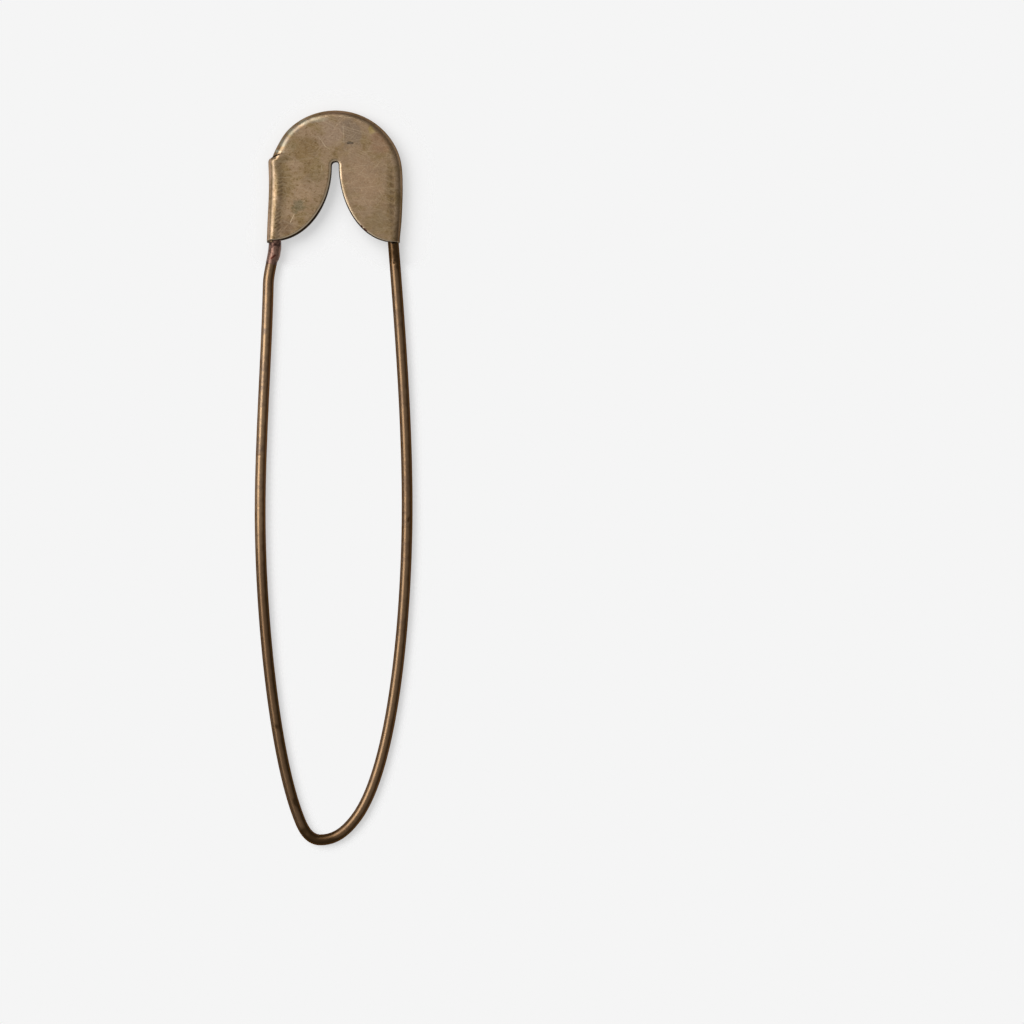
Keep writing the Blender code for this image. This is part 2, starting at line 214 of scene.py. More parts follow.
def keep_values(piece, name, values, kind="FLOAT", field="value"):
    """Stores a value for each of the mesh's points, under a name that the material reads."""
    kept = piece.data.attributes.new(name, kind, "POINT")
    kept.data.foreach_set(field, np.ravel(values))


def way(degrees):
    """The way in plan at an angle from the pin's right."""
    return np.array([math.cos(math.radians(degrees)), math.sin(math.radians(degrees))])


def curve_run(start, end, count=400):
    """Points of a cubic Bezier between two of the wire's places. Each handle lies along the way
    the wire heads there, as far off as it keeps to that way."""
    first, first_heading, _, first_keep = start
    last, last_heading, last_keep, _ = end
    near = first + way(first_heading) * first_keep * MM
    far = last - way(last_heading) * last_keep * MM
    t = np.linspace(0, 1, count)[:, None]
    return ((1 - t)**3 * np.array(first) + 3 * (1 - t)**2 * t * near
            + 3 * (1 - t) * t**2 * far + t**3 * np.array(last))


def even_steps(points, step):
    """The same path with its points an even step apart, and how far along each point is."""
    lengths = np.linalg.norm(np.diff(points, axis=0), axis=1)
    along = np.concatenate([[0], np.cumsum(lengths)])
    kept = np.concatenate([[True], lengths > 1e-9])
    places = np.linspace(0, along[-1], int(along[-1] / step) + 1)
    spaced = [np.interp(places, along[kept], points[kept, i]) for i in range(points.shape[1])]
    return np.stack(spaced, axis=1), places


def outward_ways(path, angles):
    """The way out from a path at each angle round it: the path's left cos + its way up sin."""
    ahead = np.gradient(path, axis=0)
    ahead /= np.linalg.norm(ahead, axis=1, keepdims=True)
    left = np.cross([0, 0, 1.0], ahead)
    left /= np.linalg.norm(left, axis=1, keepdims=True)
    up = np.cross(ahead, left)
    return (np.cos(angles)[None, :, None] * left[:, None]
            + np.sin(angles)[None, :, None] * up[:, None])


def waves(places, seed, count, shortest, longest):
    """A smooth random wobble of about -1 to 1 along a line: sines of random length and start."""
    draw = np.random.default_rng(seed)
    lengths = draw.uniform(shortest, longest, count)
    starts = draw.uniform(0, 2 * math.pi, count)
    return np.sin(places[:, None] / lengths * 2 * math.pi + starts).sum(axis=1) / math.sqrt(count)


# The way the wire heads at each place, in degrees, and how far it keeps to that way before and
# after the place, in millimetres.
WIRE_PLACES = (
    (ROLL_MOUTH, -90, 0, 2.0),
    (FOOT, -91.4, 2.5, 11.9),
    (WIDEST_LEFT, -90, 11.9, 16.9),
    (KNEE_LEFT, -67, 10.7, 1.0),
    (BEND_BOTTOM, 0, 1.9, 2.7),
    (KNEE_RIGHT, 52, 2.1, 10.7),
    (WIDEST_RIGHT, 90, 15.8, 14.0),
    (CATCH_MOUTH, 94.5, 14.0, 0),
)
curves = [curve_run(start, end) for start, end in zip(WIRE_PLACES, WIRE_PLACES[1:])]
flat_path = np.concatenate([np.linspace(SEAT, ROLL_MOUTH, 100), *curves,
                            np.linspace(CATCH_MOUTH, TIP, 100)])
# It rises evenly from the board at the bend to the cap's middle plane.
share = np.clip((flat_path[:, 1] - BEND_LEVEL_Y) / (MOUTH_Y - BEND_LEVEL_Y), 0, 1)
path_height = WIRE_RADIUS + (MIDDLE_HEIGHT - WIRE_RADIUS) * share
wire_path, wire_along = even_steps(np.column_stack([flat_path, path_height]), WIRE_STEP)
ring_angles = np.linspace(0, 2 * math.pi, WIRE_SIDES, endpoint=False)

# Small knocks in the wire: the arm, how high up the pin, how far round from the top towards the
# pin's left side in degrees, then half its length along the wire, half its width and its depth.
NICKS = (
    ("left", 3.74, 18, 0.16, 0.30, 0.035),
    ("left", -4.71, 14, 0.12, 0.40, 0.025),
    ("left", -40.5, 5, 0.5, 0.35, 0.03),
    ("left", -53.0, -20, 0.6, 0.3, 0.05),
    ("left", -57.6, 10, 0.7, 0.5, 0.05),
    ("right", -6.6, -22, 0.22, 0.12, 0.09),
    ("right", -6.9, -15, 0.20, 0.12, 0.10),
    ("right", -8.1, 12, 0.12, 0.35, 0.02),
    ("right", 37.7, -20, 0.22, 0.25, 0.10),
    ("right", 36.7, -14, 0.16, 0.25, 0.11),
    ("right", 36.2, -38, 0.18, 0.25, 0.12),
    ("right", 35.6, -12, 0.15, 0.22, 0.12),
    ("right", 35.3, -36, 0.16, 0.25, 0.12),
    ("right", 35.0, 8, 0.13, 0.22, 0.09),
    ("right", 34.4, -30, 0.20, 0.22, 0.08),
)
FULL_NICK = 0.1  # a knock this deep, in millimetres, is dark all over
UNEVEN_HARMONICS = 4
UNEVEN_SEED = 11
UNEVEN_WAVES = 9
UNEVEN_LENGTHS = (2 * MM, 17 * MM)

bend_row = int(np.argmin(wire_path[:, 1]))
on_left = np.arange(len(wire_path)) < bend_row
wire_radius = np.full((len(wire_path), WIRE_SIDES), WIRE_RADIUS)
wire_nicks = np.zeros_like(wire_radius)
for harmonic in range(UNEVEN_HARMONICS):
    seed = UNEVEN_SEED + harmonic
    wobble = waves(wire_along, seed, UNEVEN_WAVES, *UNEVEN_LENGTHS)[:, None]
    swing = np.cos(harmonic * ring_angles + seed)[None]
    wire_radius -= UNEVENNESS / 2 * (1 + wobble * swing) / UNEVEN_HARMONICS
for arm, nick_y, turn, half_length, half_width, depth in NICKS:
    rows = on_left if arm == "left" else ~on_left
    row = int(np.argmin(np.where(rows, np.abs(wire_path[:, 1] - nick_y * MM), 1)))
    # An angle of 0 is the path's left: the pin's right on the left arm, which runs down the pin,
    # and its left on the right arm, which runs up it.
    middle = math.radians(90 + turn if arm == "left" else 90 - turn)
    around = np.angle(np.exp(1j * (ring_angles - middle))) * WIRE_RADIUS
    lengthways = (wire_along - wire_along[row]) / (half_length * MM)
    crosswise = around / (half_width * MM)
    hollow = np.exp(-lengthways[:, None]**2 - crosswise[None]**2)
    wire_radius -= depth * MM * hollow
    wire_nicks = np.maximum(wire_nicks, hollow * min(depth / FULL_NICK, 1))

# The bend's lowest part was never rubbed, and is dull all over.
DULL_PLACE = -2.5 * MM
DULL_REACH = 2.9 * MM
DULL = 0.34
dull_row = int(np.argmin(np.abs(wire_path[:, 0] - DULL_PLACE) + (wire_path[:, 1] > 0)))
dull_share = np.exp(-((wire_along - wire_along[dull_row]) / DULL_REACH)**4)
wire_nicks = np.maximum(wire_nicks, DULL * dull_share[:, None])
# So is the free arm where it runs in under the cap.
MOUTH_DULL = 0.30
MOUTH_DULL_START = 34.2 * MM
MOUTH_DULL_FADE = 2.4 * MM
under_cap = np.clip((wire_path[:, 1] - MOUTH_DULL_START) / MOUTH_DULL_FADE, 0, 1) * ~on_left
wire_nicks = np.maximum(wire_nicks, MOUTH_DULL * under_cap[:, None])

to_tip = wire_along[-1] - wire_along
ground = np.clip(to_tip / NEEDLE_LENGTH, 0, 1)**NEEDLE_FULLNESS
nose = np.sqrt(np.clip(to_tip / NEEDLE_NOSE, NEEDLE_LEAST, 1))
needle_share = (NEEDLE_TIP_RADIUS + (WIRE_RADIUS - NEEDLE_TIP_RADIUS) * ground) / WIRE_RADIUS
wire_radius *= (needle_share * nose)[:, None]
# Each ring of points is the path's own point + radius times the way out from it.
wire_outwards = outward_ways(wire_path, ring_angles)
wire_points = wire_path[:, None] + wire_radius[..., None] * wire_outwards
# How clean each place round the wire is: its top is rubbed, and its flanks keep tarnish. The extra
# darkness on the lower right, the side turned from the lamp, is painted shade.
RUBBED_AND_LIT_SIDE = (-0.24, 0.14, 1.0)
wire_crest_toward_lamp = wire_outwards @ np.array(RUBBED_AND_LIT_SIDE)

# How far each arm is rubbed bright at the bend, then where up the pin that changes, over what
# length, and by how much. Both arms are duller near the cap.
RUBBED_LEFT = (0.10, ((-11.0, 3.0, 0.90), (31.5, 1.2, -0.40)))
RUBBED_RIGHT = (0.05, ((-56.3, 0.9, 0.38), (33.6, 1.3, -0.30)))


def rubbed(first, changes):
    """A share along the wire: the first, + each change / (1 + e^-t), where t is how far up past
    the change's place, in its lengths."""
    up_the_pin = wire_path[:, 1] / MM
    return first + sum(amount / (1 + np.exp((place - up_the_pin) / length))
                       for place, length, amount in changes)


wire_polish = np.where(on_left, rubbed(*RUBBED_LEFT), rubbed(*RUBBED_RIGHT))


def new_group(name, vectors, numbers):
    """An empty node group with these inputs, and a mask as its output: the group, what it is
    given, and its result."""
    group = bpy.data.node_groups.new(name, "ShaderNodeTree")
    for kind, labels in (("Vector", vectors), ("Float", numbers)):
        for label in labels:
            group.interface.new_socket(label, in_out="INPUT", socket_type="NodeSocket" + kind)
    group.interface.new_socket("Mask", in_out="OUTPUT", socket_type="NodeSocketFloat")
    given = group.nodes.new("NodeGroupInput").outputs
    return group, given, group.nodes.new("NodeGroupOutput").inputs


def place_group(tree, group, values):
    """Puts a node group into a material, with these values, and gives its mask."""
    return node(tree, "Group", values, node_tree=group).outputs["Mask"]


def mix_colours(tree, share, first, second, kind="MIX"):
    """Two colours mixed by a share."""
    values = {0: share, 6: first, 7: second}
    return node(tree, "Mix", values, data_type="RGBA", blend_type=kind).outputs[2]


def times(tree, first, second, more=0.0):
    """Two values multiplied, and a third added to that."""
    values = {0: first, 1: second, 2: more}
    return node(tree, "Math", values, operation="MULTIPLY_ADD").outputs[0]


def noise(tree, place, scale, detail=3.0, roughness=0.5, distortion=0.0):
    """Soft random values, mostly of 0.3 to 0.7, at a scale per metre."""
    values = {"Vector": place, "Scale": scale, "Detail": detail, "Roughness": roughness,
              "Distortion": distortion}
    return node(tree, "TexNoise", values).outputs["Fac"]


def attribute(tree, name, kind="Fac"):
    """The values that a piece's mesh keeps under a name."""
    return node(tree, "Attribute", attribute_name=name).outputs[kind]


# Tarnish, as all the metal has it: soft blotches, with finer mottling inside them.
BLOTCH_SHARE = 0.6
TARNISH_BAND = (0.91, 1.11)
tarnish, given, result = new_group("tarnish", ["Vector"],
                                   ["Blotch Scale", "Mottle Scale", "Tarnished"])
blotches = noise(tarnish, given["Vector"], given["Blotch Scale"], roughness=0.55, distortion=0.4)
mottles = noise(tarnish, given["Vector"], given["Mottle Scale"], detail=4.0, roughness=0.55,
                distortion=0.2)
both = times(tarnish, blotches, BLOTCH_SHARE, times(tarnish, mottles, 1 - BLOTCH_SHARE))
both = calculate(tarnish, "ADD", both, given["Tarnished"])
feed(tarnish, result, {"Mask": map_range(tarnish, both, *TARNISH_BAND)})

# Streaks: lines much longer one way than the other, from noise that is stretched that way.
STREAK_BAND = (0.98, 1.14)
streaks, given, result = new_group("streaks", ["Vector", "Stretch", "Turn"], ["Amount"])
turned = node(streaks, "Mapping", {"Vector": given["Vector"], "Rotation": given["Turn"],
                                   "Scale": given["Stretch"]}, vector_type="TEXTURE")
lines = noise(streaks, turned.outputs["Vector"], 1.0, detail=2.0, roughness=0.6)
line_value = calculate(streaks, "ADD", lines, given["Amount"])
feed(streaks, result, {"Mask": map_range(streaks, line_value, *STREAK_BAND)})


def tarnished(tree, fresh, aged, blotches, mottles, amount=0.5):
    """The tarnish's mask at the scales of its blotches and mottles, and the colour it makes."""
    mask = place_group(tree, tarnish, {
        "Vector": node(tree, "TexCoord").outputs["Object"], "Blotch Scale": blotches,
        "Mottle Scale": mottles, "Tarnished": amount})
    return mask, mix_colours(tree, mask, fresh, aged)


def bumped(tree, height, strength, distance):
    """The surface's normals, bumped by a height."""
    values = {"Strength": strength, "Distance": distance, "Height": height}
    return node(tree, "Bump", values).outputs["Normal"]


WIRE_FRESH = (0.265, 0.148, 0.054)
WIRE_AGED = (0.132, 0.066, 0.022)
WIRE_GRIME_AND_SHADE = (0.128, 0.064, 0.030)
WIRE_OLD_GRIME_AND_SHADE = (0.062, 0.035, 0.015)
WIRE_EDGE_TINT = (0.52, 0.39, 0.28)
WIRE_ROUGHNESS = (0.30, 0.42)  # fresh and tarnished
DRAWN_LINE = (4.5 * MM, 0.24 * MM, 0.24 * MM)
DRAWN_AMOUNT = 0.52
DRAWN_HEIGHT = -0.5
GRIME_SHADE_RAGGED = 0.34
GRIME_SHADE_BAND = (1.16, 0.80)
LEAST_FILM = 0.35  # of the clear film that is left where the wire was never rubbed
FILM_ROUGHNESS = 0.31
FILM_IOR = 1.7
wire_finish, tree, shader = new_material("drawn_brass")
place = node(tree, "TexCoord").outputs["Object"]
drawn_way = attribute(tree, "drawn_way", "Vector")
polish = attribute(tree, "polish")
worn, colour = tarnished(tree, WIRE_FRESH, WIRE_AGED, blotches=260.0, mottles=1500.0, amount=0.45)
drawn_lines = place_group(tree, streaks, {"Vector": drawn_way, "Stretch": DRAWN_LINE,
                                          "Amount": DRAWN_AMOUNT})
# The flank darkening is partly tarnish and partly painted shade, most on the side turned from the
# lamp.
grime_shade_noise = noise(tree, place, 900.0, detail=4.0)
grime_shade_value = times(tree, grime_shade_noise, GRIME_SHADE_RAGGED, attribute(tree, "crest"))
grime_shade_value = calculate(tree, "SUBTRACT", grime_shade_value, attribute(tree, "nick"))
grime_and_shade = map_range(tree, grime_shade_value, *GRIME_SHADE_BAND)
colour = mix_colours(tree, polish, WIRE_AGED, colour)
grime_and_shade_colour = mix_colours(tree, polish, WIRE_OLD_GRIME_AND_SHADE, WIRE_GRIME_AND_SHADE)
film = map_range(tree, polish, 0.0, 1.0, LEAST_FILM, 1.0, smooth=False)
height = times(tree, drawn_lines, DRAWN_HEIGHT, worn)
feed(tree, shader.inputs, {
    "Base Color": mix_colours(tree, grime_and_shade, colour, grime_and_shade_colour),
    "Roughness": map_range(tree, worn, 0.0, 1.0, *WIRE_ROUGHNESS, smooth=False),
    "Coat Weight": times(tree, calculate(tree, "SUBTRACT", 1.0, grime_and_shade), film),
    "Coat Roughness": FILM_ROUGHNESS,
    "Coat IOR": FILM_IOR,
    "Specular Tint": WIRE_EDGE_TINT,
    "Normal": bumped(tree, height, strength=0.16, distance=0.012 * MM),
})


def wire_half(name, first, last):
    """One half of the wire, from one ring to another."""
    kept = slice(first, last + 1)
    points = wire_points[kept]
    piece = new_tube(name, points, wire_finish)
    keep_values(piece, "crest", wire_crest_toward_lamp[kept])
    keep_values(piece, "polish", np.broadcast_to(wire_polish[kept, None], points.shape[:2]))
    keep_values(piece, "nick", wire_nicks[kept])
    drawn = np.stack(np.broadcast_arrays(
        wire_along[kept, None], np.cos(ring_angles) * WIRE_RADIUS,
        np.sin(ring_angles) * WIRE_RADIUS), axis=-1)
    keep_values(piece, "drawn_way", drawn, "FLOAT_VECTOR", "vector")
    return piece


join_row = int(np.argmin(np.linalg.norm(wire_path[:, :2] - JOIN_PLACE, axis=1)))
wire_left = wire_half("wire_left", 0, join_row)
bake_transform(wire_left)
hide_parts("fixed_arm", "spring_bend")
wire_right = wire_half("wire_right", join_row, len(wire_path) - 1)
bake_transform(wire_right)
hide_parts("pin_arm")


# Cap
# One piece of thin sheet brass, folded over to a flat pocket with a round rim. Its lower edge is
# cut to two lobes with a notch between. On the left the sheet is rolled round the fixed arm and
# crimped; behind the right lobe it is cut back to a lip, so that the pin can be hooked behind it.
SHEET = 0.3 * MM
CAP_HALF = 1.28 * MM
ARCH_RADIUS = 11.1 * MM
ARCH_X = 0.3 * MM
ARCH_Y = 48.9 * MM
SIDE_LENGTH = ARCH_Y - MOUTH_Y
SIDE_DRAFT = 0.4 * MM
ROLL_RADIUS = 1.34 * MM
ROLL_STAND = 0.12 * MM
ROLL_TOP = 52.55 * MM
SHOULDER = 1.0 * MM
# How far the rim's crest is in from its side, at places along the outline from the left mouth.
CREST_PLACES = np.array([0, 2.3, 9.0, 11.3, 12.5, 13.9, 16.0, 18.0, 19.9, 21.8, 24.0, 27.0]) * MM
CREST_REACHES = np.array([1.10, 1.27, 1.63, 1.37, 1.10, 1.15, 1.42, 1.3, 1.25, 1.3, 1.35, 1.3]) * MM
CREST_SHIFTS = np.linspace(-0.5, 0.5, 7) * MM
# Where hand work pushed the outline in: how far along it, over what half length, and how deep,
# in millimetres.
PUSHED_IN = (
    (9.3, 6.0, 0.36),
    (16.0, 2.0, 0.14),
    (44.3, 2.2, 0.14),
    (55.3, 2.4, 0.18),
)
CREASE_FALL = 0.95 * MM
CREASE_RISE = 4.0 * MM
CREASE_DEPTH = 0.06 * MM
CREASE_TOP = 52.4 * MM
CREASE_FADE = 1.2 * MM
NOTCH_X = 0.28 * MM
NOTCH_Y = 51.0 * MM
NOTCH_RADIUS = 0.60 * MM
LOBE_HEIGHT = 12.3 * MM
LOBE_LEFT = 9.66 * MM
LOBE_RIGHT = 8.9 * MM
RIGHT_DROP = 0.3 * MM  # how much lower the right lobe reaches
LOBE_END = 0.99999  # just short of where the cut runs straight across
WINDOW_LEFT = 0.15 * MM
WINDOW_TOP = 51.615 * MM
WINDOW_CORNER = 2.2 * MM
LIP_WIDTH = 0.568 * MM
SLIT_Y = 52.32 * MM
SLIT_DEPTH = 1.2 * MM
SLIT_HALF = 0.20 * MM
SLIT_SKEW = 0.95  # how far the slit climbs along the rim for each step inwards
EDGE_WIDTH = 0.46 * MM
EDGE_DROP = 0.145 * MM
EDGE_LIP = 0.15 * MM
DENT_DEPTH = 0.014 * MM
ROLL_TURN = math.radians(40)  # how far round the arch its top can reach
DENT_WAVES = 14
DENT_LENGTHS = (2.2, 8.0)  # millimetres
# How strongly the rim is darkened beside its crest, and lower down its side, at places along the
# outline from the left mouth. This is partly tarnish and partly painted shade, the shade strongest
# on the right, away from the lamp.
GRIME_PLACES = np.array([0, 12.5, 13.7, 20.0, 25.0, 27.5, 30.0, 33.0, 38.0, 50.0, 55.0]) * MM
CREST_TARNISH_AND_SHADE = np.array([0, 0, 0.35, 0.34, 0.22, 0.60, 0.42, 0.68, 0.46, 0.46, 0.84])
SIDE_TARNISH_AND_SHADE = np.array([0, 0, 0.20, 0.20, 0.05, 0.34, 0.24, 0.54, 0.84, 0.90, 1.0])
FRONT_ROWS = 74
BACK_ROWS = 54
SIDE_COLUMNS = 62
ARCH_START_COLUMNS = 30
ARCH_COLUMNS = 182
ROW_SPREAD = 1.3  # above 1, the rows stand closer towards the cut edge
CAP_SHARP_EDGE = math.radians(50)
EDGE_WEAR = 0.04 * MM

ARCH_LENGTH = math.pi * ARCH_RADIUS


def smooth_step(value):
    """0 below 0, 1 above 1, and an S curve between."""
    share = np.clip(value, 0, 1)
    return share * share * (3 - 2 * share)


def rim_place(along):
    """Where the outline is at a length along it from the left mouth, and the way inwards there:
    straight up, half round the arch, then down, leaning in a little."""
    angle = math.pi - np.clip((along - SIDE_LENGTH) / ARCH_RADIUS, 0, math.pi)
    below = np.clip(SIDE_LENGTH - along, 0, None)
    past = np.clip(along - SIDE_LENGTH - ARCH_LENGTH, 0, None)
    x = ARCH_X + ARCH_RADIUS * np.cos(angle) - past / SIDE_LENGTH * SIDE_DRAFT
    y = ARCH_Y + ARCH_RADIUS * np.sin(angle) - below - past
    return x, y, -np.cos(angle), -np.sin(angle)


def roll_stand(along):
    """How far the roll stands out past the arch: its side goes straight up to a round shoulder,
    while the arch leans away from it."""
    turn = np.clip((along - SIDE_LENGTH) / ARCH_RADIUS, 0, ROLL_TURN)
    reach = (ARCH_RADIUS + ROLL_STAND) / np.cos(turn)
    top = ARCH_Y + (ARCH_RADIUS + ROLL_STAND) * np.tan(turn)
    into = np.clip((top - (ROLL_TOP - SHOULDER)) / SHOULDER, 0, 1)
    fall = SHOULDER * (1 - np.sqrt(1 - into**2))
    stand = np.clip(reach - ARCH_RADIUS - fall, 0, None)
    return np.where(top < ROLL_TOP, stand, 0)


def pushed_in(along):
    """How far hand work pushed the outline in at a length along it: a sum of bell curves."""
    return sum(depth * MM * np.exp(-((along / MM - place) / half)**2)
               for place, half, depth in PUSHED_IN)


def crest_reach(along):
    """How far in the rim's crest is: read between the places given, and averaged over 1 mm."""
    reaches = [np.interp(along + shift, CREST_PLACES, CREST_REACHES) for shift in CREST_SHIFTS]
    return sum(reaches) / len(reaches)


slit_turn = math.asin((SLIT_Y - ARCH_Y) / ARCH_RADIUS)
SLIT_ALONG = SIDE_LENGTH + slit_turn * ARCH_RADIUS
SKEW_REACH = 2.6 * MM
SKEW_DEPTH = 1.2 * SLIT_DEPTH
# At places inwards, the share of its gap by which the slit closes up.
CLOSING_PLACES = np.array([0, 0.75, 1, 1.2, 3]) * SLIT_DEPTH
CLOSING_SHARES = (0, 0.25, 0.9, 0.9, 0)


def leaned(along, inwards):
    """Near the slit the grid's lines climb along the rim as they run inwards, and close up on each
    other, so that the slit between two of them leans and narrows to its end."""
    off = along - SLIT_ALONG
    near = np.cos(np.clip(off / SKEW_REACH, -1, 1) * math.pi / 2)**2
    depth = np.clip(inwards, 0, SKEW_DEPTH)
    closed = np.interp(inwards, CLOSING_PLACES, CLOSING_SHARES)
    squeeze = closed * (1 - smooth_step((np.abs(off) - SLIT_HALF) / MM))
    return SLIT_ALONG + off * (1 - squeeze) + SLIT_SKEW * depth * near


def plan_place(along, inwards):
    """The point in plan at a distance inwards from the outline, and from the roll's own side."""
    moved = leaned(along, inwards)
    x, y, way_x, way_y = rim_place(moved)
    depth = inwards - roll_stand(moved) + pushed_in(moved)
    return x + way_x * depth, y + way_y * depth


def lobe_edge(x, y):
    """The distance to the cut between the lobes, above 0 on the sheet: two quarters of an ellipse,
    and a round notch above them."""
    lobe_width = np.where(x < NOTCH_X, LOBE_LEFT, LOBE_RIGHT)
    lobe_height = np.where(x < NOTCH_X, LOBE_HEIGHT, LOBE_HEIGHT + RIGHT_DROP)
    below = np.clip((NOTCH_Y - y) / lobe_height, 0, LOBE_END)
    lift = np.sqrt(1 - below**2)
    reach = NOTCH_RADIUS + lobe_width * (1 - lift)
    slope = lobe_width / lobe_height * below / lift
    beside = (np.abs(x - NOTCH_X) - reach) / np.sqrt(1 + slope**2)
    above = np.hypot(x - NOTCH_X, y - NOTCH_Y) - NOTCH_RADIUS
    return np.where(y < NOTCH_Y, beside, above)


def window_edge(x, y):
    """The distance to the catch's window, above 0 on the sheet: a box with one round corner."""
    past = np.clip((ARCH_Y - y) / SIDE_LENGTH, 0, 1)
    outer = ARCH_X + ARCH_RADIUS - SIDE_DRAFT * past - LIP_WIDTH
    right = x - outer
    top = y - WINDOW_TOP
    corner_x = np.maximum(right + WINDOW_CORNER, 0)
    corner_y = np.maximum(top + WINDOW_CORNER, 0)
    rounded = np.hypot(corner_x, corner_y) - WINDOW_CORNER
    inner = np.maximum(right, top)
    box = np.where((corner_x > 0) & (corner_y > 0), rounded, inner)
    return np.maximum(box, WINDOW_LEFT - x)


def back_edge(x, y):
    """On the back, the sheet ends at the lobes' cut or at the window."""
    return np.minimum(lobe_edge(x, y), window_edge(x, y))


def first_cut(along, edge, longest=12.5 * MM, steps=3000):
    """How far inwards each line runs before it first meets the cut edge."""
    inwards = np.linspace(0, longest, steps)
    x, y = plan_place(along[:, None], inwards[None])
    value = edge(x, y)
    cut = value < 0
    cut[:, -1] = True
    last = np.maximum(cut.argmax(axis=1), 1)
    rows = np.arange(len(along))
    before = value[rows, last - 1]
    after = value[rows, last]
    share = np.clip(before / np.where(before > after, before - after, 1), 0, 1)
    return inwards[last - 1] + share * (inwards[1] - inwards[0])


def crease(x, y):
    """The dip beside the roll, from 0 to 1: it falls quickly right of the roll's crest, then rises
    slowly, and thins out towards the roll's top."""
    up = y - MOUTH_Y
    crest_x = ARCH_X - ARCH_RADIUS - ROLL_STAND + pushed_in(up) + crest_reach(up)
    past = x - crest_x
    fall = smooth_step(past / CREASE_FALL)
    rise = smooth_step((past - CREASE_FALL) / CREASE_RISE)
    return fall * (1 - rise) * smooth_step((CREASE_TOP - y) / CREASE_FADE)


def soft_dents(x, y, seed):
    """Shallow unevenness of hand-worked sheet, from 0 to 1, as crossing waves."""
    draw = np.random.default_rng(seed)
    total = np.zeros(np.broadcast(x, y).shape)
    for _ in range(DENT_WAVES):
        way_on = draw.uniform(0, math.pi)
        length = draw.uniform(*DENT_LENGTHS) * MM
        start = draw.uniform(0, 2 * math.pi)
        across = x * math.cos(way_on) + y * math.sin(way_on)
        total += np.sin(across / length * 2 * math.pi + start)
    return 0.5 + np.clip(total / math.sqrt(DENT_WAVES) / 4, -0.5, 0.5)


ROLL_MERGE = 1.6 * MM  # how far past its crest the roll comes down to the flat face
EDGE_CURVE = 1.15
LIP_START = 0.62  # the share of the edge's width where its small lip turns down
SHADE_START = 0.2  # how flat the rim is where its dark side ends, and its crest's shade begins
SHADE_FADE = 0.4


def sheet_side(along, rows, edge, side, seed):
    """One face of the folded sheet, as a grid: each line runs inwards from the rim's outermost
    place. It goes round the rim as an arc, then flat, and dips a little at its cut edge."""
    limit = first_cut(along, edge)
    half = np.where(roll_stand(along) > 0, ROLL_RADIUS, CAP_HALF)
    reach = crest_reach(along)
    quarter = half * math.pi / 2
    on_arc = limit < reach
    arc_share = np.clip(1 - limit / reach, -1, 1)
    length = np.where(on_arc, half * np.arccos(arc_share), quarter + limit - reach)
    share = 1 - (1 - np.linspace(0, 1, rows + 1))**ROW_SPREAD
    run = length[:, None] * share[None]
    half, reach, quarter = half[:, None], reach[:, None], quarter[:, None]
    bent = np.minimum(run / half, math.pi / 2)
    past_crest = np.maximum(run - quarter, 0)
    inwards = reach * (1 - np.cos(bent)) + past_crest
    x, y = plan_place(along[:, None], inwards)
    lift = half * np.sin(bent)
    lift -= (half - CAP_HALF) * smooth_step(past_crest / ROLL_MERGE)
    lift -= CREASE_DEPTH * crease(x, y) * np.where(bent < math.pi / 2, 0, 1)
    near_edge = np.clip(1 - edge(x, y) / EDGE_WIDTH, 0, 1)
    drop = EDGE_DROP if side > 0 else EDGE_DROP / 2
    lip = EDGE_LIP * smooth_step((near_edge - LIP_START) / (1 - LIP_START)) if side > 0 else 0
    lift -= (drop * near_edge**EDGE_CURVE + lip) * np.where(on_arc, 0, 1)[:, None]
    lift -= DENT_DEPTH * soft_dents(x, y, seed) * np.minimum(bent / (math.pi / 2), 1)
    turned = np.sin(bent) * np.ones_like(x)
    by_crest = np.interp(along, GRIME_PLACES, CREST_TARNISH_AND_SHADE)[:, None]
    by_side = np.interp(along, GRIME_PLACES, SIDE_TARNISH_AND_SHADE)[:, None]
    rim_tarnish_and_shade_share = by_side + (by_crest - by_side) * smooth_step((turned - SHADE_START) / SHADE_FADE)
    return np.stack([x, y, MIDDLE_HEIGHT + side * lift, near_edge, turned, rim_tarnish_and_shade_share], axis=-1)


def side_steps(lobe_height):
    """Places up a side from its mouth: height (1 - cos). They stand closer together at the mouth,
    where the lobe's edge turns away from the side."""
    last_turn = math.acos((NOTCH_Y - ARCH_Y) / lobe_height)
    return lobe_height * (1 - np.cos(np.linspace(0, last_turn, SIDE_COLUMNS)))


left_side = side_steps(LOBE_HEIGHT)
arch_start = np.linspace(SIDE_LENGTH, SLIT_ALONG - SLIT_HALF, ARCH_START_COLUMNS)
arch_rest = np.linspace(SLIT_ALONG + SLIT_HALF, SIDE_LENGTH + ARCH_LENGTH, ARCH_COLUMNS)
right_side = 2 * SIDE_LENGTH + ARCH_LENGTH + RIGHT_DROP - side_steps(LOBE_HEIGHT + RIGHT_DROP)[::-1]
columns = np.concatenate([left_side[:-1], arch_start, arch_rest, right_side[1:]])
slit_column = len(left_side) - 1 + len(arch_start) - 1

front = sheet_side(columns, FRONT_ROWS, lobe_edge, side=1, seed=5)
back = sheet_side(columns, BACK_ROWS, back_edge, side=-1, seed=6)
whole_sheet = np.concatenate([back[:, :0:-1], front], axis=1)
sheet = whole_sheet[..., :3]
sheet_faces = grid_faces(*sheet.shape[:2])
in_plan = np.linalg.norm(sheet[slit_column, :, :2] - rim_place(SLIT_ALONG)[:2], axis=1)
slit_rows = in_plan[:-1] < SLIT_DEPTH * math.hypot(1, SLIT_SKEW)
kept = np.ones(sheet_faces.shape[:2], dtype=bool)
kept[slit_column, BACK_ROWS:] = ~slit_rows[BACK_ROWS:]
sheet_faces = sheet_faces[kept].tolist()


